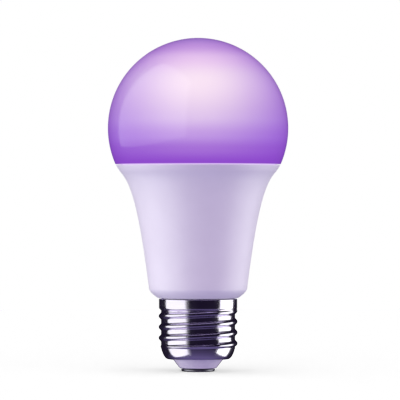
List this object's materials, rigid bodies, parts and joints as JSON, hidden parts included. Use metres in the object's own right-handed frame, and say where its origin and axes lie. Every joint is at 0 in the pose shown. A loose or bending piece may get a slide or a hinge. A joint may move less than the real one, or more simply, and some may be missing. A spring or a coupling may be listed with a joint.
{
  "type": "smart light bulb",
  "caption": "Rounded light bulb with an opal lit dome, a flared plastic housing and a screw cap; LED board, radio board and mains driver inside.",
  "frame": {"origin": "centre of the centre contact's flat tip, on the bulb's axis", "axes": "+Z along the bulb's axis, from the centre contact to the crown of the dome; the driver board's large components face -Y"},
  "size_m": [0.0598, 0.0598, 0.1108],
  "materials": {
    "opal_diffuser": "opal, satin, lit violet from inside",
    "white_plastic": "fine satin moulded",
    "nickel_plate": "bright nickel plating",
    "insulator_plastic": "smooth moulded",
    "contact_metal": "tinned, worn",
    "silicone": "cured bead",
    "bare_aluminium": "drawn sheet",
    "black_plastic": "moulded",
    "thermal_pad": "soft pad",
    "white_board": "white solder mask",
    "screw_steel": "zinc plated",
    "green_board": "green solder mask",
    "tinned_steel": "tin plated",
    "blue_coating": "epoxy dip",
    "green_coating": "epoxy dip",
    "yellow_case": "moulded case",
    "capacitor_sleeve": "shrunk sleeve",
    "ferrite": "sintered",
    "copper_wire": "enamelled",
    "chip_package": "moulded epoxy",
    "warm_led": "phosphor under clear resin",
    "cool_led": "phosphor under clear resin",
    "rgb_led": "white package, clear resin",
    "red_insulation": "wire insulation",
    "white_insulation": "wire insulation"
  },
  "bodies": {
    "root": {"diffuser": "opal_diffuser", "diffuser_adhesive": "silicone", "housing": "white_plastic", "screw_shell": "nickel_plate", "cap_insulator": "insulator_plastic", "centre_contact": "contact_metal", "heat_sink_cup": "bare_aluminium", "insulating_liner": "black_plastic", "thermal_pad": "thermal_pad", "led_board": "white_board", "led_board_screw_1": "screw_steel", "led_board_screw_2": "screw_steel", "led_header": "black_plastic", "radio_board": "green_board", "radio_shield": "tinned_steel", "driver_board": "green_board", "radio_header": "black_plastic", "fuse_resistor": "blue_coating", "varistor": "blue_coating", "input_capacitor": "capacitor_sleeve", "film_capacitor": "yellow_case", "output_capacitor": "capacitor_sleeve", "transformer_core": "ferrite", "transformer_winding": "copper_wire", "bridge_rectifier": "chip_package", "filter_choke": "copper_wire", "safety_capacitor": "green_coating", "driver_chip": "chip_package", "output_diode": "chip_package", "supply_chip": "chip_package", "supply_inductor": "ferrite", "dimming_chip": "chip_package", "live_wire": "red_insulation", "neutral_wire": "white_insulation", "warm_led_1": "warm_led", "cool_led_1": "cool_led", "warm_led_2": "warm_led", "cool_led_2": "cool_led", "warm_led_3": "warm_led", "cool_led_3": "cool_led", "warm_led_4": "warm_led", "cool_led_4": "cool_led", "warm_led_5": "warm_led", "cool_led_5": "cool_led", "warm_led_6": "warm_led", "cool_led_6": "cool_led", "rgb_led_1": "rgb_led", "rgb_led_2": "rgb_led", "rgb_led_3": "rgb_led", "rgb_led_4": "rgb_led"}
  },
  "joints": []
}
